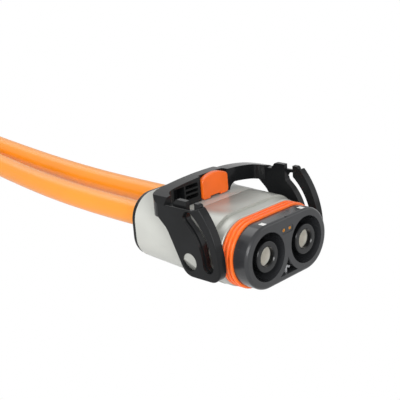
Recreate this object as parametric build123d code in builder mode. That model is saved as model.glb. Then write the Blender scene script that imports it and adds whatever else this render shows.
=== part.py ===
"""Two-pole high-voltage cable plug with a cam lever, a position-assurance slider and two pigtail cables.

Every piece is drawn square to the plug: X across the two poles, +Y from the mating face back to the
cables, +Z up. The origin is the middle of the mating face. The finished pieces are then turned nose up
about X, as the plug lies on a bench on its front flange and its rear cap. Lengths are in millimetres.
"""
import math
import os

from build123d import *

os.makedirs("parts", exist_ok=True)

# ---- driving dimensions -------------------------------------------------------------------------
POLE_SPACING = 38.0        # centre to centre of the two contacts
REST_TILT = 7.0            # nose-up angle of the plug on a flat bench, degrees
CLEARANCE = 0.3            # gap between pieces that move past each other
FIT = 0.05                 # radial gap of a pin in its hole and of nested sleeves

NOSE_R = 20.9              # end radius of the dark nose
NOSE_LENGTH = 11.0         # mating face to the seal
NECK_R = 19.3              # neck under the seal
SPIGOT_END = 34.0          # rear end of the contact carrier
RECESS_R = 15.7            # round recess around each contact
RECESS_DEPTH = 26.0
EDGE_ROUND = 2.0           # round edge of the nose

SEAL_LENGTH = 8.4
SEAL_BASE_R = 21.5
SEAL_LIP_R = 22.4
LIP_COUNT = 3
LIP_WIDTH = 2.0

GUARD_R = 10.2             # touch guard around each socket
GUARD_INSET = 0.8          # guard's front edge behind the mating face
GUARD_LIP_R = 6.3
GUARD_LIP_LENGTH = 3.4
SOCKET_R = 8.0
SOCKET_BORE_R = 6.0
SOCKET_INSET = 4.6
SPRING_WALL = 0.4
SPRING_BLADES = 12
SPRING_START = 12.0
SPRING_LENGTH = 14.0
WEB_START = 36.0           # offset web between socket and crimp barrel
WEB_LENGTH = 8.0
CRIMP_R = 7.4
CRIMP_BORE_R = 5.2
CRIMP_END = 62.0
CABLE_RISE = 8.0           # cable axis above contact axis

FLANGE_R = 23.0
FLANGE_LENGTH = 8.0
HOUSING_END = 52.0
COVER_END = 93.0
CAP_LENGTH = 3.4
FRONT_HALF_WIDTH = 43.2    # body section just behind the flange
FRONT_BOTTOM = -22.6
FRONT_CORNER = 23.0
REAR_HALF_WIDTH = 44.8     # body section at the cap
REAR_BOTTOM = -14.9
REAR_CORNER = 18.0
SADDLE_TOP = 24.6          # flat top under the handle bar
SADDLE_END = 73.0          # where the top starts to rise to the cap
REAR_TOP = 31.0

PIVOT_Y = 36.0             # lever pivot behind the mating face, on the contact plane
PIVOT_R = 5.8
PIVOT_FLAT = 2.6           # depth of the ramp on each boss, so that the arm snaps over it
RAMP_ANGLE = 21.0          # turn of the ramp's upper edge, degrees
RAMP_DROP = 1.0            # ramp's upper edge below the pivot
BOSS_SINK = 0.6            # boss end behind the arm's outer face
ARM_GAP = 46.3             # centre plane to an arm's inner face
ARM_THICKNESS = 6.0
BAR_FRONT = 61.0
BAR_REAR = 71.0
BAR_BOTTOM = 25.2
BAR_CROWN = 41.4           # bar's top over the slider
CAM_WIDTH = 7.0
CAM_STEP = 0.8             # the slot is wider by this on each side near the outer face
CAM_STEP_DEPTH = 2.4
CAM_START_R = 28.8         # cam slot's centre line, from its mouth in to its end
CAM_END_R = 15.8
CAM_START_ANGLE = 93.0
CAM_END_ANGLE = 180.0
CAM_EASE = 2.4             # how much faster the cam closes in at first than at the end
GROOVE_DEPTH = 3.5         # entry groove in the arm's inner face

SLIDER_HALF_WIDTH = 12.4
SLIDER_BOTTOM = 25.2
SLIDER_TOP = 41.8
SLIDER_PLATE = 3.6
SLIDER_FRONT = 59.4
TONGUE_HALF_WIDTH = 8.0    # slider's body behind its face
TONGUE_BOTTOM = 27.5
TONGUE_TOP = 37.0
FRAME_WALL = 2.5           # bar left standing beside the slider

CABLE_D = 17.4
CABLE_START = 70.0         # cut end of the jacket inside the cover
INSULATION_R = 6.9
SEAL_BORE_R = 12.0         # seat of each cable seal
CABLE_SEAL_START = 82.0
LUG_HOLE_R = 4.2
LUG_LENGTH = 52.0
LUG_BARREL_LENGTH = 24.0
LUG_WIDTH = 26.0
PALM_START = 32.0
PALM_THICKNESS = 5.0
PALM_CORNER = 7.0
SLEEVE_LENGTH = 46.0
SLEEVE_WALL = 1.1

# ---- sizes that follow --------------------------------------------------------------------------
HALF = POLE_SPACING / 2
POLES = {"left": -HALF, "right": HALF}
SEAL_START = NOSE_LENGTH + CLEARANCE
FLANGE_START = SEAL_START + SEAL_LENGTH + CLEARANCE
FLANGE_END = FLANGE_START + FLANGE_LENGTH
CABLE_R = CABLE_D / 2
ARM_OUT = ARM_GAP + ARM_THICKNESS
COVER_START = HOUSING_END + CLEARANCE
CAP_START = COVER_END + CLEARANCE
CAP_END = CAP_START + CAP_LENGTH
BODY_LENGTH = COVER_END - FLANGE_END
REST = Rotation(-REST_TILT, 0, 0)


def across(y):
    """Plane square to the plug's axis, y behind the mating face: its x is X and its y is Z."""
    return Plane.XZ.offset(-y)


def lengthwise(x):
    """Plane along the plug, x off its centre: its x is Y and its y is Z."""
    return Plane.YZ.offset(x)


def body_size(y):
    """Half width, top, bottom and corner radius of the tapered body at y."""
    share = (y - FLANGE_END) / BODY_LENGTH
    pairs = (
        (FRONT_HALF_WIDTH, REAR_HALF_WIDTH),
        (FRONT_BOTTOM, REAR_BOTTOM),
        (FRONT_CORNER, REAR_CORNER),
    )
    half_width, bottom, corner = [front + (rear - front) * share for front, rear in pairs]
    rise = max(0, y - SADDLE_END) / (COVER_END - SADDLE_END)
    top = SADDLE_TOP + (REAR_TOP - SADDLE_TOP) * rise
    return half_width, top, bottom, corner


def body_section(y, inset=0.0):
    """Sketch of the body's rounded section at y, drawn in from its outline by inset."""
    half_width, top, bottom, corner = body_size(y)
    with BuildSketch(across(y)) as section:
        with Locations((0, (top + bottom) / 2)):
            RectangleRounded(2 * (half_width - inset), top - bottom - 2 * inset, corner - inset)
    return section.sketch


def hand_over(piece, name):
    """Lay a finished piece on the bench, name it and write it."""
    rested = REST * piece.part
    rested.label = name
    export_step(rested, f"parts/{name}.step")
    print(f"{name}: {len(rested.solids())} solid, {rested.volume / 1000:.2f} cm3")


# ---- contact carrier: the dark nose with its two recesses ---------------------------------------
with BuildPart() as contact_carrier:
    with BuildSketch(across(0)):
        SlotCenterToCenter(POLE_SPACING, 2 * NOSE_R)
    extrude(amount=-NOSE_LENGTH)
    fillet(contact_carrier.faces().sort_by(Axis.Y)[0].outer_wire().edges(), radius=EDGE_ROUND)
    with BuildSketch(across(NOSE_LENGTH)):
        SlotCenterToCenter(POLE_SPACING, 2 * NECK_R)
    extrude(amount=-(SPIGOT_END - NOSE_LENGTH))
    with BuildSketch(across(0)):
        with Locations((-HALF, 0), (HALF, 0)):
            Circle(RECESS_R)
    extrude(amount=-RECESS_DEPTH, mode=Mode.SUBTRACT)
    with BuildSketch(across(RECESS_DEPTH)):
        with Locations((-HALF, 0), (HALF, 0)):
            Circle(GUARD_R + FIT)
    extrude(amount=-(SPIGOT_END - RECESS_DEPTH), mode=Mode.SUBTRACT)

    # seat of the interlock insert, above and between the recesses
    INSERT_Z = 12.6
    INSERT_LENGTH = 12.0
    INSERT_HEIGHT = 4.6
    INSERT_DEPTH = 14.0
    with BuildSketch(across(0)):
        with Locations((0, INSERT_Z)):
            SlotOverall(INSERT_LENGTH + 2 * FIT, INSERT_HEIGHT + 2 * FIT)
    extrude(amount=-INSERT_DEPTH, mode=Mode.SUBTRACT)

    # three-cornered coding cavity below, its sides following the two recesses
    CAVITY_REACH = 0.8     # each side's arc crosses the centre plane by this
    CAVITY_R = HALF + CAVITY_REACH
    CAVITY_BASE = -17.0
    CAVITY_DEPTH = 14.0
    cavity_apex = -math.sqrt(CAVITY_R**2 - HALF**2)
    cavity_half = HALF - math.sqrt(CAVITY_R**2 - CAVITY_BASE**2)
    with BuildSketch(across(0)):
        with BuildLine():
            RadiusArc((cavity_half, CAVITY_BASE), (0, cavity_apex), CAVITY_R)
            RadiusArc((0, cavity_apex), (-cavity_half, CAVITY_BASE), CAVITY_R)
            Line((-cavity_half, CAVITY_BASE), (cavity_half, CAVITY_BASE))
        make_face()
    extrude(amount=-CAVITY_DEPTH, mode=Mode.SUBTRACT)

    # one lozenge-shaped notch, at the middle of the top front edge
    NOTCH_LENGTH = 5.6
    NOTCH_WIDTH = 3.6
    NOTCH_DEPTH = 0.5
    with BuildSketch(Plane.XY.offset(NOSE_R)):
        with BuildLine():
            Polyline(
                (-NOTCH_LENGTH / 2, 0), (0, -NOTCH_WIDTH / 2), (NOTCH_LENGTH / 2, 0), (0, NOTCH_WIDTH / 2),
                close=True,
            )
        make_face()
    extrude(amount=-NOTCH_DEPTH, mode=Mode.SUBTRACT)
hand_over(contact_carrier, "contact_carrier")

# ---- interface seal: silicone ring with three lips ----------------------------------------------
with BuildPart() as interface_seal:
    with BuildSketch(across(SEAL_START)):
        SlotCenterToCenter(POLE_SPACING, 2 * SEAL_BASE_R)
        SlotCenterToCenter(POLE_SPACING, 2 * (NECK_R + FIT), mode=Mode.SUBTRACT)
    extrude(amount=-SEAL_LENGTH)
    lip_pitch = (SEAL_LENGTH - LIP_WIDTH) / (LIP_COUNT - 1)
    for lip in range(LIP_COUNT):
        with BuildSketch(across(SEAL_START + lip * lip_pitch)):
            SlotCenterToCenter(POLE_SPACING, 2 * SEAL_LIP_R)
            SlotCenterToCenter(POLE_SPACING, 2 * (SEAL_BASE_R - 1), mode=Mode.SUBTRACT)
        extrude(amount=-LIP_WIDTH)
    lip_edges = [
        edge for edge in interface_seal.edges()
        if edge.bounding_box().max.X - edge.bounding_box().min.X > 0
        and abs(edge.bounding_box().max.Z - SEAL_LIP_R) < 0.01
    ]
    fillet(lip_edges, radius=0.7)
hand_over(interface_seal, "interface_seal")

# ---- interlock insert and its two forked contacts ------------------------------------------------
FORK_SPACING = 6.0
FORK_R = 1.1
FORK_BORE_R = 0.65
FORK_SLOT = 0.5
FORK_INSET = 0.5
FORK_LENGTH = 11.0
INSERT_WALL = 1.2
with BuildPart() as interlock_insert:
    with BuildSketch(across(CLEARANCE)):
        with Locations((0, INSERT_Z)):
            SlotOverall(INSERT_LENGTH, INSERT_HEIGHT)
    extrude(amount=-(INSERT_DEPTH - CLEARANCE))
    with BuildSketch(across(0)):
        with Locations((-FORK_SPACING / 2, INSERT_Z), (FORK_SPACING / 2, INSERT_Z)):
            Circle(FORK_R + FIT)
    extrude(amount=-(INSERT_DEPTH - INSERT_WALL), mode=Mode.SUBTRACT)
hand_over(interlock_insert, "interlock_insert")

with BuildPart() as interlock_contacts:
    with BuildSketch(across(FORK_INSET)):
        with Locations((-FORK_SPACING / 2, INSERT_Z), (FORK_SPACING / 2, INSERT_Z)):
            Circle(FORK_R)
            Circle(FORK_BORE_R, mode=Mode.SUBTRACT)
    extrude(amount=-FORK_LENGTH)
    with BuildSketch(across(FORK_INSET)):
        with Locations((-FORK_SPACING / 2, INSERT_Z), (FORK_SPACING / 2, INSERT_Z)):
            Rectangle(FORK_SLOT, 2 * FORK_R + 1)
    extrude(amount=-FORK_LENGTH / 2, mode=Mode.SUBTRACT)
hand_over(interlock_contacts, "interlock_contacts")

# ---- coding key: three thin walls meeting in the cavity ------------------------------------------
KEY_WALL = 1.5
KEY_INSET = 2.5
KEY_HUB = -12.6
KEY_ARM_REACH = 3.6
KEY_ARM_RISE = 1.6
with BuildPart() as coding_key:
    with BuildSketch(across(KEY_INSET)):
        for tip in (
            (0, CAVITY_BASE + FIT),
            (-KEY_ARM_REACH, KEY_HUB - KEY_ARM_RISE),
            (KEY_ARM_REACH, KEY_HUB - KEY_ARM_RISE),
            (0, KEY_HUB + KEY_ARM_REACH),
        ):
            with BuildLine():
                Line((0, KEY_HUB), tip)
            trace(line_width=KEY_WALL)
    extrude(amount=-(CAVITY_DEPTH - KEY_INSET))
hand_over(coding_key, "coding_key")

# ---- touch guards, sockets and spring cages, one set for each pole -------------------------------
for side, pole in POLES.items():
    with BuildPart() as touch_guard:
        with BuildSketch(across(GUARD_INSET)):
            with Locations((pole, 0)):
                Circle(GUARD_R)
                Circle(GUARD_LIP_R, mode=Mode.SUBTRACT)
        extrude(amount=-(SPIGOT_END - GUARD_INSET))
        with BuildSketch(across(GUARD_INSET + GUARD_LIP_LENGTH)):
            with Locations((pole, 0)):
                Circle(SOCKET_R + FIT)
        extrude(amount=-SPIGOT_END, mode=Mode.SUBTRACT)
        front_rims = touch_guard.faces().sort_by(Axis.Y)[0].edges()
        fillet(front_rims.sort_by(SortBy.RADIUS)[-1], radius=1.0)
        chamfer(touch_guard.faces().sort_by(Axis.Y)[0].edges().sort_by(SortBy.RADIUS)[0], length=0.6)
    hand_over(touch_guard, f"touch_guard_{side}")

    with BuildPart() as socket_contact:
        with BuildSketch(across(SOCKET_INSET)):
            with Locations((pole, 0)):
                Circle(SOCKET_R)
        extrude(amount=-(WEB_START - SOCKET_INSET))
        with BuildSketch(across(WEB_START)):
            with Locations((pole, CABLE_RISE / 2)):
                SlotCenterToCenter(CABLE_RISE, 2 * CRIMP_R, rotation=90)
        extrude(amount=-WEB_LENGTH)
        with BuildSketch(across(WEB_START + WEB_LENGTH)):
            with Locations((pole, CABLE_RISE)):
                Circle(CRIMP_R)
        extrude(amount=-(CRIMP_END - WEB_START - WEB_LENGTH))
        with BuildSketch(across(SOCKET_INSET)):
            with Locations((pole, 0)):
                Circle(SOCKET_BORE_R)
        extrude(amount=-(WEB_START - SOCKET_INSET), mode=Mode.SUBTRACT)
        with BuildSketch(across(SPRING_START)):
            with Locations((pole, 0)):
                Circle(SOCKET_BORE_R + SPRING_WALL + 2 * FIT)
        extrude(amount=-SPRING_LENGTH, mode=Mode.SUBTRACT)
        with BuildSketch(across(WEB_START + WEB_LENGTH)):
            with Locations((pole, CABLE_RISE)):
                Circle(CRIMP_BORE_R)
        extrude(amount=-(CRIMP_END - WEB_START - WEB_LENGTH), mode=Mode.SUBTRACT)
    hand_over(socket_contact, f"socket_contact_{side}")

    with BuildPart() as spring_cage:
        with BuildSketch(across(SPRING_START + FIT)):
            with Locations((pole, 0)):
                Circle(SOCKET_BORE_R + SPRING_WALL + FIT)
                Circle(SOCKET_BORE_R + FIT, mode=Mode.SUBTRACT)
        extrude(amount=-(SPRING_LENGTH - 2 * FIT))
        window_length = SPRING_LENGTH - 2 * LIP_WIDTH
        with BuildSketch(lengthwise(pole)) as windows:
            with Locations((SPRING_START + SPRING_LENGTH / 2, 0)):
                Rectangle(window_length, 1.2)
        cutter = extrude(windows.sketch, amount=SOCKET_R, mode=Mode.PRIVATE)
        spindle = Axis((pole, 0, 0), (0, 1, 0))
        for blade in range(SPRING_BLADES):
            add(cutter.rotate(spindle, blade * 360 / SPRING_BLADES), mode=Mode.SUBTRACT)
    hand_over(spring_cage, f"spring_cage_{side}")

# ---- outer housing: flange, tapered body, pivot bosses -------------------------------------------
PASSAGE_R = 11.0
with BuildPart() as outer_housing:
    with BuildSketch(across(FLANGE_START)):
        SlotCenterToCenter(POLE_SPACING, 2 * FLANGE_R)
    extrude(amount=-FLANGE_LENGTH)
    fillet(outer_housing.faces().sort_by(Axis.Y)[0].outer_wire().edges(), radius=1.4)
    loft(Sketch() + [body_section(FLANGE_END), body_section(HOUSING_END)], ruled=True)
    # pivot bosses, each with a ramp that lets the lever's arm snap over it
    for outward in (-1, 1):
        boss_end = ARM_OUT - BOSS_SINK
        with BuildSketch(lengthwise(outward * boss_end)):
            with Locations((PIVOT_Y, 0)):
                Circle(PIVOT_R)
        extrude(amount=-outward * (boss_end - FRONT_HALF_WIDTH + BOSS_SINK))
        lean = math.radians(RAMP_ANGLE)
        ramp_plane = Plane(
            origin=(outward * boss_end, PIVOT_Y, -RAMP_DROP), x_dir=(outward, 0, 0),
            z_dir=(0, math.cos(lean), math.sin(lean)),
        )
        with BuildSketch(ramp_plane):
            with BuildLine():
                Polyline((0, 0), (0, outward * PIVOT_R), (-PIVOT_FLAT, outward * PIVOT_R), close=True)
            make_face()
        extrude(amount=PIVOT_R, both=True, mode=Mode.SUBTRACT)
    # front socket for the carrier's neck and spigot
    with BuildSketch(across(FLANGE_START)):
        SlotCenterToCenter(POLE_SPACING, 2 * (NECK_R + FIT))
    extrude(amount=-(SPIGOT_END - FLANGE_START), mode=Mode.SUBTRACT)
    # passages for the contacts, rising to the cable axis
    with BuildSketch(across(SPIGOT_END)):
        with Locations((-HALF, CABLE_RISE / 2), (HALF, CABLE_RISE / 2)):
            SlotCenterToCenter(CABLE_RISE, 2 * PASSAGE_R, rotation=90)
    extrude(amount=-(HOUSING_END - SPIGOT_END), mode=Mode.SUBTRACT)
hand_over(outer_housing, "outer_housing")

# ---- rear cover: light shell over the crimps ------------------------------------------------------
with BuildPart() as rear_cover:
    loft(Sketch() + [body_section(y) for y in (COVER_START, SADDLE_END, COVER_END)], ruled=True)
    with BuildSketch(across(COVER_START)):
        with Locations((-HALF, CABLE_RISE), (HALF, CABLE_RISE)):
            Circle(SEAL_BORE_R)
    extrude(amount=-(COVER_END - COVER_START), mode=Mode.SUBTRACT)
hand_over(rear_cover, "rear_cover")

# ---- rear cap, closing the cover around both cables -----------------------------------------------
CAP_INSET = 0.6
with BuildPart() as rear_cap:
    extrude(body_section(CAP_START, CAP_INSET), amount=-CAP_LENGTH)
    fillet(rear_cap.faces().sort_by(Axis.Y)[-1].edges(), radius=0.8)
    with BuildSketch(across(CAP_START)):
        with Locations((-HALF, CABLE_RISE), (HALF, CABLE_RISE)):
            Circle(CABLE_R + CLEARANCE)
    extrude(amount=-CAP_LENGTH, mode=Mode.SUBTRACT)
hand_over(rear_cap, "rear_cap")

# ---- cable ends inside the cover: stripped core, shield sleeve, spring ring, wire seal ------------
SHIELD_START = CABLE_START + 0.6
SHIELD_LENGTH = 10.4
SHIELD_R = 10.0
RING_START = SHIELD_START + 1.0
RING_LENGTH = 8.0
RING_SLOTS = 12
SEAL_RIBS = 3
SEAL_GROOVE = 0.8
for side, pole in POLES.items():
    with BuildPart() as cable_core:
        with BuildSketch(across(WEB_START + WEB_LENGTH + CLEARANCE)):
            with Locations((pole, CABLE_RISE)):
                Circle(CRIMP_BORE_R - FIT)
        extrude(amount=-(CRIMP_END - WEB_START - WEB_LENGTH))
        with BuildSketch(across(CRIMP_END + CLEARANCE)):
            with Locations((pole, CABLE_RISE)):
                Circle(INSULATION_R)
        extrude(amount=-(CABLE_START - CRIMP_END - CLEARANCE))
    hand_over(cable_core, f"cable_core_{side}")

    with BuildPart() as shield_sleeve:
        with BuildSketch(across(SHIELD_START)):
            with Locations((pole, CABLE_RISE)):
                Circle(SHIELD_R)
                Circle(CABLE_R + FIT, mode=Mode.SUBTRACT)
        extrude(amount=-SHIELD_LENGTH)
    hand_over(shield_sleeve, f"shield_sleeve_{side}")

    with BuildPart() as shield_spring:
        with BuildSketch(across(RING_START)):
            with Locations((pole, CABLE_RISE)):
                Circle(SEAL_BORE_R - FIT)
                Circle(SHIELD_R + FIT, mode=Mode.SUBTRACT)
        extrude(amount=-RING_LENGTH)
        with BuildSketch(across(RING_START)):
            with Locations((pole, CABLE_RISE)):
                with PolarLocations(SEAL_BORE_R, RING_SLOTS):
                    Rectangle(2.4, 2.4)
        extrude(amount=-RING_LENGTH * 0.7, mode=Mode.SUBTRACT)
    hand_over(shield_spring, f"shield_spring_{side}")

    with BuildPart() as cable_seal:
        seal_length = COVER_END - CABLE_SEAL_START
        with BuildSketch(across(CABLE_SEAL_START)):
            with Locations((pole, CABLE_RISE)):
                Circle(SEAL_BORE_R - FIT)
                Circle(CABLE_R + FIT, mode=Mode.SUBTRACT)
        extrude(amount=-seal_length)
        groove_pitch = seal_length / SEAL_RIBS
        for groove in range(SEAL_RIBS - 1):
            with BuildSketch(across(CABLE_SEAL_START + (groove + 1) * groove_pitch - 1)):
                with Locations((pole, CABLE_RISE)):
                    Circle(SEAL_BORE_R)
                    Circle(SEAL_BORE_R - SEAL_GROOVE, mode=Mode.SUBTRACT)
            extrude(amount=-2, mode=Mode.SUBTRACT)
    hand_over(cable_seal, f"cable_seal_{side}")

# ---- lever: two cam arms and the handle bar, one moulding -----------------------------------------
ARM_TIP = 10.8             # arm's front edge, behind the mating face
TIP_Z = -1.0
ARM_BOTTOM = -9.8
HEEL = (40.5, ARM_BOTTOM)  # lower rear corner
KNEE = (54.5, 18.5)        # where the arm turns back to the bar
FRONT_BOW = (14.7, 19.5)   # on the bowed front edge
ARM_EDGE_ROUND = 0.9
ARM_REAR = BAR_FRONT + 1.0
FRONT_CORNER_YZ = (25.0, 36.4)
ARM_TOP = 34.2             # top of the arm's outer half, behind its front corner
# raised inner half of each arm: Y, Z from its front corner back
RIB_OUTLINE = ((25.6, 38.2), (46.5, 38.4), (51.5, ARM_TOP - 2), (27.0, ARM_TOP - 2))
RIB_THICKNESS = 3.2

BAIL_START = 55.0
BAIL_CORNER = 11.0
INNER_CORNER = 9.0
# the bar's top, from the tall left half over the slider to the slim right half: X, Z
LEFT_SHOULDER = (-49.0, 38.2)
LEFT_BOW = (-24.0, 41.0)
CROWN_END = (10.5, BAR_CROWN)
RIGHT_START = (14.5, 40.2)
RIGHT_BOW = (34.0, 38.2)
# the bar's underside: flat beside the slider, arched over the housing on the right: X, Z
ARCH_START = (15.4, BAR_BOTTOM)
ARCH_RISE = (17.4, 28.4)
ARCH_TOP = (22.0, 29.6)
ARCH_FALL = (34.0, 27.9)

cam_points = []
CAM_STEPS = 6
for step in range(CAM_STEPS + 1):
    turn = math.radians(CAM_START_ANGLE + (CAM_END_ANGLE - CAM_START_ANGLE) * step / CAM_STEPS)
    cam_r = CAM_END_R + (CAM_START_R - CAM_END_R) * (1 - step / CAM_STEPS) ** CAM_EASE
    cam_points.append((PIVOT_Y + cam_r * math.cos(turn), cam_r * math.sin(turn)))


def cam_slot(width):
    """Draw a slot of the given width along the cam curve."""
    with BuildLine() as centre:
        Spline(cam_points)
    trace(centre.edges(), line_width=width)
    with Locations(cam_points[0], cam_points[-1]):
        Circle(width / 2)


arms = []
for outward in (-1, 1):
    with BuildPart() as arm:
        # side outline, from the front top corner round the tip
        with BuildSketch(lengthwise(outward * ARM_GAP)) as arm_outline:
            with BuildLine():
                ThreePointArc(FRONT_CORNER_YZ, FRONT_BOW, (ARM_TIP, TIP_Z))
                Polyline(
                    (ARM_TIP, TIP_Z), (ARM_TIP, ARM_BOTTOM), HEEL, KNEE, (ARM_REAR, BAR_BOTTOM),
                    (ARM_REAR, ARM_TOP), (FRONT_CORNER_YZ[0] + 6, ARM_TOP), FRONT_CORNER_YZ,
                )
            make_face()
            for corner, radius in (((ARM_TIP, ARM_BOTTOM), 8), (HEEL, 10), (KNEE, 14), (FRONT_CORNER_YZ, 1.0)):
                fillet(arm_outline.vertices().sort_by_distance((*corner, 0))[0], radius=radius)
        extrude(amount=outward * ARM_THICKNESS)
        fillet(arm.faces().sort_by(Axis.X)[-1 if outward > 0 else 0].outer_wire().edges(), radius=ARM_EDGE_ROUND)
        with BuildSketch(lengthwise(outward * ARM_GAP)) as rib:
            with BuildLine():
                Polyline(*RIB_OUTLINE, close=True)
            make_face()
            fillet(rib.vertices().group_by(Axis.Y)[-2:], radius=2.0)
        extrude(amount=outward * RIB_THICKNESS)
        # cam slot through the arm, wider near the outer face, with a square mouth there
        with BuildSketch(lengthwise(outward * ARM_GAP)):
            cam_slot(CAM_WIDTH)
        extrude(amount=outward * ARM_THICKNESS, mode=Mode.SUBTRACT)
        with BuildSketch(lengthwise(outward * ARM_OUT)):
            cam_slot(CAM_WIDTH + 2 * CAM_STEP)
            with Locations(cam_points[0]):
                Rectangle(CAM_WIDTH + 2 * CAM_STEP + 1, CAM_STEP, align=(Align.CENTER, Align.MIN))
        extrude(amount=-outward * CAM_STEP_DEPTH, mode=Mode.SUBTRACT)
        # entry groove for the mating pin, in the inner face only
        with BuildSketch(lengthwise(outward * ARM_GAP)):
            with Locations(cam_points[0]):
                Rectangle(CAM_WIDTH, ARM_TOP, align=(Align.CENTER, Align.MIN))
        extrude(amount=outward * GROOVE_DEPTH, mode=Mode.SUBTRACT)
        # pivot hole
        with BuildSketch(lengthwise(outward * ARM_GAP)):
            with Locations((PIVOT_Y, 0)):
                Circle(PIVOT_R + FIT)
        extrude(amount=outward * ARM_THICKNESS, mode=Mode.SUBTRACT)
    arms.append(arm.part)

with BuildPart() as lever:
    # front view of the bar
    with BuildSketch(across(BAIL_START)):
        with BuildLine():
            ThreePointArc(LEFT_SHOULDER, LEFT_BOW, CROWN_END)
            Line(CROWN_END, RIGHT_START)
            ThreePointArc(RIGHT_START, RIGHT_BOW, (ARM_OUT, ARM_TOP))
            Polyline((ARM_OUT, ARM_TOP), (ARM_OUT, BAR_BOTTOM), (ARM_GAP, BAR_BOTTOM))
            ThreePointArc((ARM_GAP, BAR_BOTTOM), ARCH_FALL, ARCH_TOP)
            ThreePointArc(ARCH_TOP, ARCH_RISE, ARCH_START)
            Polyline(
                ARCH_START, (-ARM_OUT, BAR_BOTTOM), (-ARM_OUT, ARM_TOP), LEFT_SHOULDER,
            )
        make_face()
    extrude(amount=-(BAR_REAR - BAIL_START))
    # plan view: rounded outer corners, rounded inner corners
    with BuildSketch(Plane.XY):
        with Locations((0, BAR_REAR)):
            RectangleRounded(2 * ARM_OUT, 2 * BAR_REAR, BAIL_CORNER, align=(Align.CENTER, Align.MAX))
        with Locations((0, BAR_FRONT)):
            RectangleRounded(
                2 * ARM_GAP, 2 * BAR_FRONT, INNER_CORNER, align=(Align.CENTER, Align.MAX), mode=Mode.SUBTRACT,
            )
    extrude(amount=2 * BAR_CROWN, mode=Mode.INTERSECT)
    # seat and window for the slider
    with BuildSketch(across(BAR_FRONT)):
        with Locations((0, SLIDER_BOTTOM - CLEARANCE)):
            Rectangle(
                2 * (SLIDER_HALF_WIDTH + CLEARANCE), SLIDER_TOP - SLIDER_BOTTOM + 2 * CLEARANCE,
                align=(Align.CENTER, Align.MIN),
            )
    extrude(amount=-(SLIDER_FRONT + SLIDER_PLATE + CLEARANCE - BAR_FRONT), mode=Mode.SUBTRACT)
    with BuildSketch(across(BAR_FRONT)):
        with Locations((0, (TONGUE_BOTTOM + TONGUE_TOP) / 2)):
            Rectangle(2 * (TONGUE_HALF_WIDTH + CLEARANCE), TONGUE_TOP - TONGUE_BOTTOM + 2 * CLEARANCE)
    extrude(amount=-(BAR_REAR - BAR_FRONT), mode=Mode.SUBTRACT)
    # cored-out left half of the bar, with two rails and a post left standing
    CORE_START = SLIDER_HALF_WIDTH + CLEARANCE + FRAME_WALL
    CORE_END = ARM_GAP - INNER_CORNER + 2
    CORE_BOTTOM = 29.0
    CORE_TOP = 38.6
    CORE_DEPTH = 7.0
    RAIL = 1.3
    RAIL_LENGTH = 12.0
    RAIL_COUNT = 2
    core_height = CORE_TOP - CORE_BOTTOM
    with BuildSketch(across(BAR_FRONT)):
        with Locations((-(CORE_START + CORE_END) / 2, (CORE_BOTTOM + CORE_TOP) / 2)):
            RectangleRounded(CORE_END - CORE_START, core_height, RAIL)
        for rail in range(RAIL_COUNT):
            with Locations((-CORE_START - RAIL_LENGTH / 2, CORE_BOTTOM + core_height * (rail + 1) / 3)):
                Rectangle(RAIL_LENGTH, RAIL, mode=Mode.SUBTRACT)
        with Locations((-CORE_START - RAIL_LENGTH, (CORE_BOTTOM + CORE_TOP) / 2)):
            Rectangle(RAIL, core_height, mode=Mode.SUBTRACT)
    extrude(amount=-CORE_DEPTH, mode=Mode.SUBTRACT)
    add(arms)
hand_over(lever, "lever")

# ---- position-assurance slider ---------------------------------------------------------------------
DOME_RISE = 3.4
STEP_HALF_WIDTH = 5.0
STEP_HEIGHT = 1.2
with BuildPart() as assurance_slider:
    with BuildSketch(across(SLIDER_FRONT)) as face:
        with BuildLine():
            shoulder = SLIDER_TOP - DOME_RISE
            ThreePointArc((-SLIDER_HALF_WIDTH, shoulder), (0, SLIDER_TOP), (SLIDER_HALF_WIDTH, shoulder))
            Polyline(
                (SLIDER_HALF_WIDTH, shoulder), (SLIDER_HALF_WIDTH, SLIDER_BOTTOM),
                (-SLIDER_HALF_WIDTH, SLIDER_BOTTOM), (-SLIDER_HALF_WIDTH, shoulder),
            )
        make_face()
        fillet(face.vertices().group_by(Axis.Y)[-1], radius=3.0)
        fillet(face.vertices().group_by(Axis.Y)[0], radius=2.4)
        with Locations((0, SLIDER_BOTTOM)):
            Rectangle(2 * STEP_HALF_WIDTH, 2 * STEP_HEIGHT, mode=Mode.SUBTRACT)
    extrude(amount=-SLIDER_PLATE)
    fillet(assurance_slider.faces().sort_by(Axis.Y)[0].outer_wire().edges(), radius=0.8)
    with BuildSketch(across(SLIDER_FRONT + SLIDER_PLATE)):
        with Locations((0, (TONGUE_BOTTOM + TONGUE_TOP) / 2)):
            Rectangle(2 * TONGUE_HALF_WIDTH, TONGUE_TOP - TONGUE_BOTTOM)
    extrude(amount=-(BAR_REAR - SLIDER_FRONT - SLIDER_PLATE))
hand_over(assurance_slider, "assurance_slider")

# ---- cables: routes on the bench, then the lugs and their sleeves -----------------------------------
# The routes are given in the bench's own frame: X off the centre plane, Y, and height above the bench.
turn = math.radians(REST_TILT)


def on_bench(y, z):
    """Turn a place in the plug's centre plane to the bench's frame."""
    return y * math.cos(turn) + z * math.sin(turn), z * math.cos(turn) - y * math.sin(turn)


BENCH_Z = on_bench(FLANGE_END, -FLANGE_R)[1]
EXIT_RUN = 45.0
exit_start = on_bench(CABLE_START, CABLE_RISE)
exit_end = on_bench(CABLE_START + EXIT_RUN, CABLE_RISE)
ROUTE = (
    (18.5, 166, 14.8),
    (17.4, 216, 10.8),
    (15.6, 268, 9.1),
    (13.6, 320, 9.0),
    (12.3, 372, 9.1),
    (12.6, 424, 9.3),
    (14.6, 474, 9.8),
    (17.6, 521, 10.2),
    (21.2, 565, 10.2),
)
BEND_SHARE = 0.45


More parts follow.
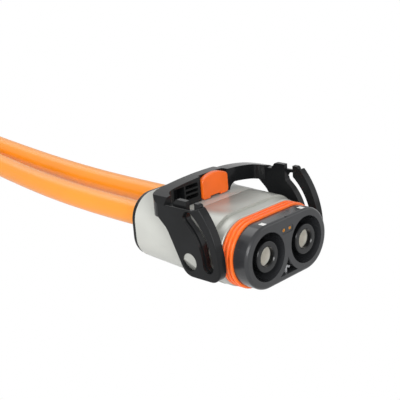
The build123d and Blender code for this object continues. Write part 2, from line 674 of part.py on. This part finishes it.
def cable_route(mirror_side):
    """Corner points of one cable's route, from its cut end in the cover to its lug."""
    inside = [(HALF * mirror_side, *exit_start), (HALF * mirror_side, *exit_end)]
    return inside + [(x * mirror_side, y, BENCH_Z + height) for x, y, height in ROUTE]


def bend_radii(points):
    """Largest arc for each corner: 0.45 of the shorter run over the tangent of half the turn."""
    radii = []
    for before, corner, after in zip(points, points[1:], points[2:]):
        run_in = Vector(*corner) - Vector(*before)
        run_out = Vector(*after) - Vector(*corner)
        half_turn = math.radians(run_in.get_angle(run_out)) / 2
        radii.append(BEND_SHARE * min(run_in.length, run_out.length) / math.tan(half_turn))
    return radii


for side, pole in POLES.items():
    points = cable_route(math.copysign(1, pole))
    radii = bend_radii(points)
    with BuildPart() as cable:
        with BuildLine() as route:
            FilletPolyline(*points, radius=radii)
        path = route.wire()
        with BuildSketch(Plane(origin=path @ 0, z_dir=path % 0)):
            Circle(CABLE_R)
        sweep(path=path)
    cable.part.label = f"cable_{side}"
    export_step(cable.part, f"parts/cable_{side}.step")
    ideal = math.pi * CABLE_R**2 * path.length
    print(f"cable_{side}: length {path.length:.1f}, volume over ideal {cable.part.volume / ideal:.4f}")
    print("  bend radii", [round(radius) for radius in radii])

    # lug: barrel, flattened palm, bolt hole
    forward = path % 1
    level = Vector(0, 0, 1).cross(forward)
    end = Plane(origin=path @ 1, x_dir=level, z_dir=forward)
    with BuildPart() as cable_lug:
        with BuildSketch(end):
            Circle(CRIMP_R)
        extrude(amount=LUG_BARREL_LENGTH)
        with BuildSketch(end.offset(LUG_BARREL_LENGTH)):
            Circle(CRIMP_R)
        with BuildSketch(end.offset(PALM_START)):
            Ellipse(LUG_WIDTH / 2 - 1, PALM_THICKNESS / 2)
        loft()
        palm_plane = Plane(origin=end.origin - Vector(0, 0, PALM_THICKNESS / 2), x_dir=forward, z_dir=(0, 0, 1))
        with BuildSketch(palm_plane):
            with Locations(((PALM_START + LUG_LENGTH) / 2 - 1, 0)):
                RectangleRounded(LUG_LENGTH - PALM_START + 2, LUG_WIDTH, PALM_CORNER)
        extrude(amount=PALM_THICKNESS)
        with BuildSketch(palm_plane):
            with Locations((LUG_LENGTH - LUG_WIDTH / 2, 0)):
                Circle(LUG_HOLE_R)
        extrude(amount=PALM_THICKNESS, mode=Mode.SUBTRACT)
    cable_lug.part.label = f"cable_lug_{side}"
    export_step(cable_lug.part, f"parts/cable_lug_{side}.step")
    hole = end.origin + forward * (LUG_LENGTH - LUG_WIDTH / 2)
    print(f"cable_lug_{side}: hole at {hole.X:.2f} {hole.Y:.2f} {hole.Z:.2f}")

    # heat-shrink sleeve over the jacket's end and the lug's barrel
    with BuildPart() as lug_sleeve:
        with BuildSketch(end.offset(-SLEEVE_LENGTH / 2)):
            Circle(CABLE_R + FIT + SLEEVE_WALL)
            Circle(CABLE_R + FIT, mode=Mode.SUBTRACT)
        extrude(amount=SLEEVE_LENGTH / 2)
        with BuildSketch(end):
            Circle(CABLE_R + FIT + SLEEVE_WALL)
            Circle(CRIMP_R + FIT, mode=Mode.SUBTRACT)
        with BuildSketch(end.offset(SLEEVE_LENGTH / 2 - 4)):
            Circle(CRIMP_R + FIT + SLEEVE_WALL)
            Circle(CRIMP_R + FIT, mode=Mode.SUBTRACT)
        loft()
    lug_sleeve.part.label = f"lug_sleeve_{side}"
    export_step(lug_sleeve.part, f"parts/lug_sleeve_{side}.step")
    print(f"lug_sleeve_{side}: {lug_sleeve.part.volume / 1000:.2f} cm3")
print(f"bench at z {BENCH_Z:.3f}")
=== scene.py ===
# %% [markdown]
# # A high-voltage cable plug, dressed and lit
# The imported CAD model is the frame: every piece below sits where the CAD says it does, in metres.
# This script keeps that geometry, gives each piece the finish that it has in real life, save for
# the painted highlight in the coding key's grey, lays the two cables down as smooth curves, adds
# two white squares of painted highlight on the nose, and sets up a plain studio with one camera.
# The plug could be modelled again in Blender, but then its sizes and its joints would drift from
# the drawing.

# %% The frame, before anything is added
import math

import bmesh
import bpy
from mathutils import Matrix, Vector


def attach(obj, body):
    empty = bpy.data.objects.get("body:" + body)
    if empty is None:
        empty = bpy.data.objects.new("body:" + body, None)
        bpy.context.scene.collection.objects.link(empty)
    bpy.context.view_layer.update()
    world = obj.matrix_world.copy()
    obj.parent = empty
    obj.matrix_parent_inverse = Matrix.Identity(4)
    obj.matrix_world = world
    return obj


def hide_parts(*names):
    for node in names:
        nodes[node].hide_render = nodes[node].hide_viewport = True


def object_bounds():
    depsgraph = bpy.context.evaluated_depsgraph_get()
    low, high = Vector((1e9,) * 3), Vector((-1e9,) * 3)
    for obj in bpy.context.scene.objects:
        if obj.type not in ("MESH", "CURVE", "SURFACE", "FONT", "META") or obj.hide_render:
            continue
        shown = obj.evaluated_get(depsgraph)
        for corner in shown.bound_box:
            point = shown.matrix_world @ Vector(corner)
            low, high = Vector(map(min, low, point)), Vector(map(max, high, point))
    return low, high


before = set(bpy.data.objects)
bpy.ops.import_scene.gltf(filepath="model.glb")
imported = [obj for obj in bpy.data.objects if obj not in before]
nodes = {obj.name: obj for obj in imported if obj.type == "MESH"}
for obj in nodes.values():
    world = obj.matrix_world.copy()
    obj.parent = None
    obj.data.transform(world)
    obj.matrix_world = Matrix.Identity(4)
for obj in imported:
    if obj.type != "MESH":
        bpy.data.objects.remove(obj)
cad_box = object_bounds()
bench_z = cad_box[0][2]
print("CAD nodes:", len(nodes))
print("CAD box:", [[round(value, 4) for value in corner] for corner in cad_box])

# %% [markdown]
# ## Places on the plug
# The plug was drawn square to its own axis and then laid nose up on a bench by 7 degrees, so that
# it rests on its flange and its rear cap. `plug_point` turns a place given in the plug's own
# millimetres into the frame's metres: X across the two contacts, Y back from the mating face, Z
# up. The turned numbers could be typed in, but this way they stay the ones that a designer would
# read off the drawing.

# %% From the plug's millimetres to the frame's metres
MM = 0.001
REST_TILT = math.radians(7.0)
LAY_DOWN = Matrix.Rotation(-REST_TILT, 4, "X")


def plug_point(x, y, z):
    """A place in the plug's own millimetres, as metres in the frame."""
    return LAY_DOWN @ (Vector((x, y, z)) * MM)


print("100 mm behind the mating face:", [round(value, 4) for value in plug_point(0, 100, 0)])

# %% [markdown]
# ## The camera
# The plug is seen from its left front and a little above, through a long lens from half a metre,
# which keeps the near arm of the lever and the far one nearly the same size. The camera's place
# could be typed in as three numbers. It is worked out instead from two angles, a distance and the
# point that it looks at, because those can be changed one at a time without losing the plug from
# view. The camera leans by less than a degree.

# %% Camera from angles and a distance
AIM = Vector((-0.0305, 0.0483, 0.0274))
AZIMUTH = math.radians(-46.5)
ELEVATION = math.radians(22.1)
LEAN = math.radians(0.74)
DISTANCE = 0.5494
SENSOR_MM = 36.0
LENS_MM = 78.4
NEAREST_SEEN = 0.01

to_camera = Vector((
    math.sin(AZIMUTH) * math.cos(ELEVATION),
    -math.cos(AZIMUTH) * math.cos(ELEVATION),
    math.sin(ELEVATION),
))
camera_data = bpy.data.cameras.new("bench_camera")
camera_data.sensor_width = SENSOR_MM
camera_data.lens = LENS_MM
camera_data.clip_start = NEAREST_SEEN
camera = bpy.data.objects.new("bench_camera", camera_data)
camera.rotation_mode = "QUATERNION"
leaned = Matrix.Rotation(LEAN, 3, "Z").to_quaternion()
camera.rotation_quaternion = to_camera.to_track_quat("Z", "Y") @ leaned
camera.location = AIM + to_camera * DISTANCE
bpy.context.scene.collection.objects.link(camera)
bpy.context.scene.camera = camera
print("camera at", [round(value, 3) for value in camera.location])

# %% [markdown]
# ## Colours and nodes
# Colours are written as a paint chart gives them on a screen, as sRGB hex values. A shader reckons
# in linear light, so `linear` undoes the sRGB curve. `add` puts one node into a tree, with its
# settings and its links by name. Each node could be set up line by line, but a finish has about a
# dozen of them, and one helper keeps their settings easy to read.

# %% A colour and a node
def linear(hex_colour):
    """'#RRGGBB' in sRGB as linear RGBA."""
    channels = [int(hex_colour[start:start + 2], 16) / 255 for start in (1, 3, 5)]
    return [c / 12.92 if c <= 0.04045 else ((c + 0.055) / 1.055) ** 2.4 for c in channels] + [1.0]


def add(tree, kind, links=None, **settings):
    """Add a node, set its properties and inputs by name, and link the sockets given."""
    node = tree.nodes.new(kind)
    for name, value in settings.items():
        if hasattr(node, name):
            setattr(node, name, value)
        else:
            node.inputs[name.replace("_", " ")].default_value = value
    for name, socket in (links or {}).items():
        tree.links.new(socket, node.inputs[name])
    return node


print("a mid grey in linear light:", round(linear("#808080")[0], 3))

# %% [markdown]
# ## How every finish is built
# `surface` builds a whole finish out of what a hand and an eye would tell of it: its colour and
# how far the tone drifts, how rough it is and how far the shine wanders, and its relief, layer over
# layer. Real surfaces are never quite even, and these small drifts keep a plain colour from looking
# like paint on a screen. Image textures would do it too, but noise has no seams and needs no file.
# All patterns read Object coordinates in real millimetres. The layers of relief are turned square
# to the plug and can be stretched along its X, Y or Z, so one kind of noise serves for grain, flow
# lines, brushing and wrinkles.

# %% A finish
NOISE_LOW, NOISE_HIGH = 0.3, 0.7     # nearly all of a noise pattern lies between these
DRIFT_DETAIL, GRAIN_DETAIL = 3.0, 2.0
RELIEF_STRENGTH = 0.6
EVEN = (1.0, 1.0, 1.0)


def surface(name, colour, roughness, reliefs, tone=0.1, drift_mm=20.0, wander=0.05,
            **shader_values):
    """A finish; each relief is its grain in mm, its depth in mm and its stretch on the plug."""
    material = bpy.data.materials.new(name)
    material.use_nodes = True
    tree = material.node_tree
    tree.nodes.clear()
    place = add(tree, "ShaderNodeTexCoord").outputs["Object"]

    drift = add(tree, "ShaderNodeTexNoise", links={"Vector": place},
                Scale=1 / (drift_mm * MM), Detail=DRIFT_DETAIL).outputs["Fac"]
    push = tone / (NOISE_HIGH - NOISE_LOW)
    dark, light = ([channel * factor for channel in linear(colour)[:3]] + [1.0]
                   for factor in (1 - push, 1 + push))
    tint = add(tree, "ShaderNodeMix", links={"Factor": drift}, data_type="RGBA", A=dark, B=light)
    shine = add(tree, "ShaderNodeMapRange", links={"Value": drift},
                From_Min=NOISE_LOW, From_Max=NOISE_HIGH,
                To_Min=roughness - wander, To_Max=roughness + wander)

    normal = add(tree, "ShaderNodeNewGeometry").outputs["Normal"]
    for grain_mm, depth_mm, stretch in reliefs:
        squared = add(tree, "ShaderNodeMapping", links={"Vector": place},
                      Rotation=(REST_TILT, 0, 0), Scale=stretch)
        grain = add(tree, "ShaderNodeTexNoise", links={"Vector": squared.outputs["Vector"]},
                    Scale=1 / (grain_mm * MM), Detail=GRAIN_DETAIL)
        normal = add(tree, "ShaderNodeBump",
                     links={"Height": grain.outputs["Fac"], "Normal": normal},
                     Strength=RELIEF_STRENGTH, Distance=depth_mm * MM).outputs["Normal"]

    shader = add(tree, "ShaderNodeBsdfPrincipled", links={
        "Base Color": tint.outputs["Result"], "Roughness": shine.outputs["Result"],
        "Normal": normal,
    }, **shader_values)
    add(tree, "ShaderNodeOutputMaterial", links={"Surface": shader.outputs["BSDF"]})
    return material


print("most of a noise pattern spans", round(NOISE_HIGH - NOISE_LOW, 2), "of its full range")

# %% [markdown]
# ## Who wears what
# A CAD node keeps its mesh and only gets a new material. `dress` gives one finish to any number of
# nodes, so that pieces from one batch of plastic or one plating bath share it, as they do in real
# life. Most pieces inside the plug come in a left and right pair, which `both` names.

# %% Dressing nodes
def dress(material, *names):
    """Give CAD nodes one material."""
    for name in names:
        data = nodes[name].data
        data.materials.clear()
        data.materials.append(material)
    print(material.name, "on", ", ".join(names))


def both(name):
    """The left and right node of a pair."""
    return f"{name}_left", f"{name}_right"


print("nodes waiting for a finish:", len(nodes))

# %% [markdown]
# ## Glass-filled nylon
# The nose, the touch guards, the cap and the key are injection-moulded nylon with short glass
# fibres. Fresh from a spark-eroded tool such plastic has a fine, even texture and a satin shine
# that wanders with the wall's thickness. The real texture has grains of about a tenth of a
# millimetre, which would be lost even from close by, so it is drawn coarser, at 0.35 mm. A slow
# waviness of about 9 mm is the slight sink over the ribs. A thin coat stands for the resin-rich
# skin, which draws a crisp light line along each round edge. The guards and the cap are a darker
# batch than the nose.

# %% Moulded nylon
NYLON_RELIEF = ((9.0, 0.02, EVEN), (0.35, 0.008, EVEN))

dress(
    surface("nylon_nose_graphite", "#2D2E30", 0.24, NYLON_RELIEF, tone=0.14,
            Specular_IOR_Level=0.28, Coat_Weight=0.2, Coat_Roughness=0.16),
    "contact_carrier", "interlock_insert",
)
dress(
    surface("nylon_guard_black", "#151617", 0.2, NYLON_RELIEF, tone=0.14,
            Specular_IOR_Level=0.26, Coat_Weight=0.15, Coat_Roughness=0.16),
    *both("touch_guard"),
)
dress(
    surface("nylon_cap_black", "#121314", 0.36, NYLON_RELIEF, tone=0.14, Specular_IOR_Level=0.22),
    "rear_cap",
)
# The key's light grey is painted highlight: it stands for the light that its thin walls catch
# inside the cavity.
dress(
    surface("nylon_key_painted_highlight_grey", "#A2A3A5", 0.35, NYLON_RELIEF, Specular_IOR_Level=0.4),
    "coding_key",
)

# %% [markdown]
# ## The lever's polyamide
# The lever is a tougher grade, run in a polished tool so that it slides. Its shine is weaker than
# the nose's but sharper, and faint flow lines start near the gate and run along the arms. A noise
# stretched along the plug stands in for those lines: they are only a few micrometres deep, so they
# break the reflection and can't be seen as shapes. The real lines are well under a millimetre apart
# and are drawn coarser, at 1.6 mm.

# %% Polished polyamide
ALONG_PLUG = (1.0, 0.12, 0.5)

dress(
    surface("polyamide_lever_black", "#18191A", 0.22,
            ((16.0, 0.04, EVEN), (1.6, 0.004, ALONG_PLUG)), tone=0.2,
            Specular_IOR_Level=0.1, Coat_Weight=0.1, Coat_Roughness=0.06),
    "lever",
)

# %% [markdown]
# ## Silicone
# The ring seal behind the nose and the two wire seals are liquid silicone rubber. Silicone is a
# little translucent, so light that enters one edge leaves it a millimetre further on, and the ribs
# have no hard black shadows between them. Some subsurface scatter with a short radius does that,
# where a paler colour alone would only look chalky. The skin is oily-smooth with a faint mottling
# of about a millimetre.

# %% Silicone rubber
dress(
    surface("silicone_orange", "#FF7228", 0.33, ((1.1, 0.01, EVEN),), tone=0.07, drift_mm=3.5,
            Subsurface_Weight=0.25, Subsurface_Radius=(1.0, 0.35, 0.12),
            Subsurface_Scale=1.2 * MM, Specular_IOR_Level=0.4),
    "interface_seal", *both("cable_seal"),
)

# %% [markdown]
# ## Acetal
# The slider is the one piece that a technician has to find by colour: it is orange acetal, moulded
# smooth and slightly waxy. It is deeper in colour than the silicone and has no translucency to
# speak of, so it needs no scatter. Its mould texture is finer than the 0.7 mm grain that stands for
# it.

# %% The slider
dress(
    surface("acetal_slider_orange", "#E86412", 0.32, ((9.0, 0.02, EVEN), (0.7, 0.006, EVEN)),
            tone=0.06, Specular_IOR_Level=0.45),
    "assurance_slider",
)

# %% [markdown]
# ## Blasted and clear-coated aluminium
# The housing is a die casting that shields the contacts. It is blasted, which leaves tiny round
# dents, and brushed lightly, which leaves streaks across the plug, then sealed with a thin clear
# coat. A fine even relief makes the dents, and one stretched along X the streaks. Real dents are
# about a tenth of a millimetre and real streaks finer still, so both are drawn coarser, at 0.22 and
# 0.5 mm. The base is half metallic, so that the lever and the slider show in it as soft reflections
# while the casting keeps the even grey of a blasted surface.

# %% Cast housing
ACROSS_PLUG = (0.06, 1.0, 1.0)

dress(
    surface("cast_aluminium_blasted", "#AEAFA9", 0.4,
            ((0.22, 0.012, EVEN), (0.5, 0.004, ACROSS_PLUG)), tone=0.09, drift_mm=22.0,
            wander=0.07, Metallic=0.5, Coat_Weight=0.2, Coat_Roughness=0.14),
    "outer_housing",
)

# %% [markdown]
# ## Painted cover
# The cover behind it is painted in a light warm grey. Sprayed paint has a low, round unevenness
# known as orange peel, about one and a half millimetres across. It can only be seen in a
# reflection, so it is a shallow relief under a thin coat.

# %% Cover enamel
dress(
    surface("cover_enamel_grey", "#C0C1BB", 0.4, ((1.5, 0.012, EVEN),), tone=0.045,
            drift_mm=30.0, wander=0.06, Coat_Weight=0.25, Coat_Roughness=0.22),
    "rear_cover",
)

# %% [markdown]
# ## Plated metal
# The sockets and their spring cages are copper under silver, the lugs copper under tin, and the
# interlock forks bronze with a flash of gold. Plating follows every mark of the tool below it, so
# each has fine lines along the plug, drawn at 0.3 mm although the real ones are finer. Silver plate
# without a brightener is milky white and only part mirror, which is why the sockets are only part
# metallic: deep in their bores they would otherwise mirror nothing but dark plastic. The wire
# strands are bare copper and the ferrules tinned steel.

# %% Silver, tin, gold, copper and steel
TOOL_LINES = ((0.3, 0.004, (1.0, 0.1, 1.0)),)
TARNISH_MM = 6.0

dress(
    surface("silver_plated_copper", "#F4F1E8", 0.42, TOOL_LINES, tone=0.04,
            drift_mm=TARNISH_MM, Metallic=0.35),
    *both("socket_contact"), *both("spring_cage"),
)
dress(
    surface("tinned_copper_lug", "#C4C4C1", 0.34, TOOL_LINES, tone=0.05,
            drift_mm=TARNISH_MM, Metallic=0.95),
    *both("cable_lug"),
)
dress(
    surface("gold_flashed_bronze", "#F0A848", 0.34, TOOL_LINES, tone=0.08,
            drift_mm=TARNISH_MM, Metallic=0.5),
    "interlock_contacts",
)
dress(
    surface("bare_copper_strand", "#D08055", 0.4, TOOL_LINES, drift_mm=TARNISH_MM, Metallic=0.95),
    *both("cable_core"),
)
dress(
    surface("tinned_steel_ferrule", "#BEBFC0", 0.34, TOOL_LINES, tone=0.05,
            drift_mm=TARNISH_MM, Metallic=0.95),
    *both("shield_sleeve"), *both("shield_spring"),
)

# %% [markdown]
# ## Heat-shrink sleeves
# The black sleeves over the lugs were shrunk with hot air. The tube takes on a dull, faintly
# wrinkled skin, with the wrinkles running around it: a relief drawn out across the cable and kept
# short along it, about a millimetre and a half from wrinkle to wrinkle.

# %% Shrunk tube
AROUND_CABLE = (0.25, 1.0, 0.25)

dress(
    surface("polyolefin_shrink_black", "#1C1C1D", 0.58, ((1.4, 0.05, AROUND_CABLE),), tone=0.2,
            drift_mm=8.0, wander=0.07, Specular_IOR_Level=0.35),
    *both("lug_sleeve"),
)

# %% [markdown]
# ## The cables' jacket
# The jacket is cross-linked polyethylene, extruded around a braid. Extrusion leaves fine lines
# along the cable, shown here at 0.8 mm although the real ones are finer, and the braid below prints
# through as a barely visible unevenness of about 4 mm. Orange is the colour that marks high voltage
# on vehicles, and a thin coat gives the jacket its long soft highlight.

# %% Jacket
DRAW_LINES = (1.0, 0.03, 1.0)

jacket = surface("xlpe_jacket_orange", "#FF9E22", 0.36,
                 ((4.0, 0.005, EVEN), (0.8, 0.006, DRAW_LINES)), tone=0.045, drift_mm=45.0,
                 Specular_IOR_Level=0.5, Coat_Weight=0.15, Coat_Roughness=0.2)
print("jacket material:", jacket.name)

# %% [markdown]
# ## The cables' routes
# Two shielded high-voltage cables leave the cap side by side, drop to the bench and run back to
# their lugs. Each route is a handful of points, the same ones that the CAD tube was swept along.
# The first two lie on the axis of the exit, so that the cable leaves the cap square to it. The
# others were set one by one, as one pushes a real cable about until it lies easily.

# %% Points of the two routes
HALF_SPACING = 19.0
CABLE_START = 70.0
CABLE_RISE = 8.0
EXIT_RUN = 45.0
# X off the centre plane, Y, and height above the bench, in millimetres
ROUTE = (
    (18.5, 166, 14.8), (17.4, 216, 10.8), (15.6, 268, 9.1), (13.6, 320, 9.0), (12.3, 372, 9.1),
    (12.6, 424, 9.3), (14.6, 474, 9.8), (17.6, 521, 10.2), (21.2, 565, 10.2),
)


def cable_points(side):
    """Control points of one cable, in metres, from its cut end in the cover to its lug."""
    exit_axis = [
        plug_point(side * HALF_SPACING, CABLE_START, CABLE_RISE),
        plug_point(side * HALF_SPACING, CABLE_START + EXIT_RUN, CABLE_RISE),
    ]
    return exit_axis + [Vector((side * x * MM, y * MM, bench_z + z * MM)) for x, y, z in ROUTE]


print("each route has", len(cable_points(1)), "points")

# %% [markdown]
# ## One cable as a curve
# A cable is the same section all along a path, so it is a NURBS curve with a round bevel rather
# than a mesh. The curve stays smooth at any distance, and its route can be read off a dozen points
# and changed by moving one of them.

# %% Laying both cables
CABLE_D = 17.4
STEPS_AROUND = 10
STEPS_ALONG = 24


def lay_cable(name, side):
    """One cable as a NURBS curve with a round section."""
    curve = bpy.data.curves.new(name, "CURVE")
    curve.dimensions = "3D"
    curve.bevel_depth = CABLE_D / 2 * MM
    curve.bevel_resolution = STEPS_AROUND
    curve.resolution_u = STEPS_ALONG
    curve.use_fill_caps = True
    spline = curve.splines.new("NURBS")
    places = cable_points(side)
    spline.points.add(len(places) - 1)
    for point, place in zip(spline.points, places):
        point.co = (*place, 1.0)
    spline.order_u = 3
    spline.use_endpoint_u = True
    curve.materials.append(jacket)
    cable = bpy.data.objects.new(name, curve)
    bpy.context.scene.collection.objects.link(cable)
    return cable


for side, word in ((-1, "left"), (1, "right")):
    cable = lay_cable(f"hv_cable_{word}", side)
    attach(cable, "plug")
    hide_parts(f"cable_{word}")

# %% [markdown]
# ## Squares of painted highlight
# Two small white squares on top of the nose, one over each contact, are painted highlight: their
# white stands for the light caught in two small notches at the nose's top edge. They stand a tenth
# of a millimetre proud. Each one is a cube, flattened and turned with the plug, its foot sunk in
# the nose and its edges softly bevelled, so that the square has an edge which catches the light. A
# pattern in the nose's material would have done from afar, but real thickness also holds up close.
# The paint's grain is drawn coarser than it is, at half a millimetre.

# %% White squares of painted highlight
NOSE_R = 20.9
MARK_ACROSS = 3.4
MARK_ALONG = 4.0
MARK_Y = 3.7
MARK_THICKNESS = 0.6
MARK_PROUD = 0.1
MARK_EDGE = 0.12

marks_mesh = bpy.data.meshes.new("painted_highlight_squares")
marks = bmesh.new()
mark_size = Matrix.Diagonal((MARK_ACROSS * MM, MARK_ALONG * MM, MARK_THICKNESS * MM, 1.0))
for side in (-1, 1):
    middle = plug_point(side * HALF_SPACING, MARK_Y, NOSE_R + MARK_PROUD - MARK_THICKNESS / 2)
    place = Matrix.Translation(middle) @ LAY_DOWN @ mark_size
    bmesh.ops.create_cube(marks, size=1.0, matrix=place)
bmesh.ops.bevel(marks, geom=marks.edges[:], offset=MARK_EDGE * MM, segments=2, profile=0.5,
                affect="EDGES", material=-1)
marks.to_mesh(marks_mesh)
marks.free()
# Painted highlight: the squares' white stands for the light caught in the nose's two notches.
marks_mesh.materials.append(
    surface("white_painted_highlight", "#F2F2F0", 0.4, ((0.5, 0.01, EVEN),), tone=0.03))
painted_highlight_squares = bpy.data.objects.new("painted_highlight_squares", marks_mesh)
bpy.context.scene.collection.objects.link(painted_highlight_squares)
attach(painted_highlight_squares, "plug")
# The squares counted here are painted highlight.
print("index marks:", len(marks_mesh.polygons), "faces")

# %% [markdown]
# ## What a ray sees
# The studio has to do two things at once: look plain white, and light the plug no more than pale
# paper would. A Light Path node can tell the two apart. Rays from the camera, and those mirrored by
# metal or passed on by glass, look at the studio directly, and all other rays only carry light.

# %% Telling looking from lighting
def seen_directly(tree):
    """1 for camera, glossy and transmission rays, 0 for rays that only light the object."""
    path = add(tree, "ShaderNodeLightPath")
    mirrored = add(tree, "ShaderNodeMath", operation="MAXIMUM", links={
        0: path.outputs["Is Camera Ray"], 1: path.outputs["Is Glossy Ray"],
    })
    return add(tree, "ShaderNodeMath", operation="MAXIMUM", links={
        0: mirrored.outputs["Value"], 1: path.outputs["Is Transmission Ray"],
    }).outputs["Value"]


WHITE = linear("#FFFFFF")
print("white to look at:", WHITE)

# %% [markdown]
# ## Floor
# The floor is a plain sheet of pale paper. It returns a soft light to the underside of the plug,
# and less of it where the plug stands in the way. Looked at directly it is plain white, so the
# plug's shadow on it can't be seen: the price of an even white ground.

# %% Paper
FLOOR_HALF = 6.0

paper = bpy.data.materials.new("white_paper_sweep")
paper.use_nodes = True
tree = paper.node_tree
tree.nodes.clear()
dull = add(tree, "ShaderNodeBsdfPrincipled", Base_Color=linear("#E4E4E4"), Roughness=0.9)
bright = add(tree, "ShaderNodeEmission", Color=WHITE, Strength=1.0)
sheet = add(tree, "ShaderNodeMixShader", links={
    0: seen_directly(tree), 1: dull.outputs["BSDF"], 2: bright.outputs["Emission"],
})
add(tree, "ShaderNodeOutputMaterial", links={"Surface": sheet.outputs["Shader"]})

floor_mesh = bpy.data.meshes.new("paper_floor")
floor_build = bmesh.new()
bmesh.ops.create_grid(floor_build, x_segments=1, y_segments=1, size=FLOOR_HALF)
bmesh.ops.translate(floor_build, vec=(0, 0, bench_z), verts=floor_build.verts)
floor_build.to_mesh(floor_mesh)
floor_build.free()
floor_mesh.materials.append(paper)
floor = bpy.data.objects.new("paper_floor", floor_mesh)
bpy.context.scene.collection.objects.link(floor)
print("floor at", round(bench_z, 4))

# %% [markdown]
# ## Air
# The world around is the studio's far walls. They light the plug as a pale grey does and are white
# to look at. An environment image would bring its own colours, which a plain studio doesn't have.

# %% Walls all round
world = bpy.data.worlds.new("studio_air")
world.use_nodes = True
air = world.node_tree
air_colour = add(air, "ShaderNodeMix", links={"Factor": seen_directly(air)}, data_type="RGBA",
                 A=linear("#B4B4B4"), B=WHITE)
air.links.new(air_colour.outputs["Result"], air.nodes["Background"].inputs["Color"])
bpy.context.scene.world = world
print("world:", world.name)

# %% [markdown]
# ## Lamps
# Four soft boxes: a key from the left that draws the highlights along the lever and the cables, a
# smaller one in front that shines into the two sockets, a weak fill from the right so that the far
# side doesn't go black, and one behind that lifts the top of the housing. One lamp would be
# simpler, but the sides turned from it would go dark. The level was measured with matt grey cards
# at the plug. A card of #808080 renders as #7C7C7C facing up, #868686 facing forward, #8E8E8E
# facing left and #9E9E9E facing the camera, so a colour renders about as it is written on top, and
# lighter than it is written on faces that are turned to the camera.

# %% Soft boxes
# Name, place and side in metres, and watts
SOFT_BOXES = (
    ("key_box", (-0.82, -0.2, 0.5), 0.4, 4.5),
    ("front_box", (-0.42, -0.6, 0.32), 0.3, 3.1),
    ("fill_box", (0.75, -0.65, 0.45), 0.6, 1.0),
    ("back_box", (0.15, 0.9, 0.75), 0.6, 2.0),
)

for name, place, side, watts in SOFT_BOXES:
    data = bpy.data.lights.new(name, "AREA")
    data.size = side
    data.energy = watts
    box = bpy.data.objects.new(name, data)
    box.location = place
    box.rotation_euler = (AIM - Vector(place)).to_track_quat("-Z", "Y").to_euler()
    bpy.context.scene.collection.objects.link(box)
    print(name, watts, "W")
bpy.context.scene.view_settings.view_transform = "Standard"

# %% [markdown]
# ## The end
# Dressing a part mustn't change its size. The box of the CAD model, taken before anything was
# added, is printed at the start.

# %% The end
print("the scene is built")
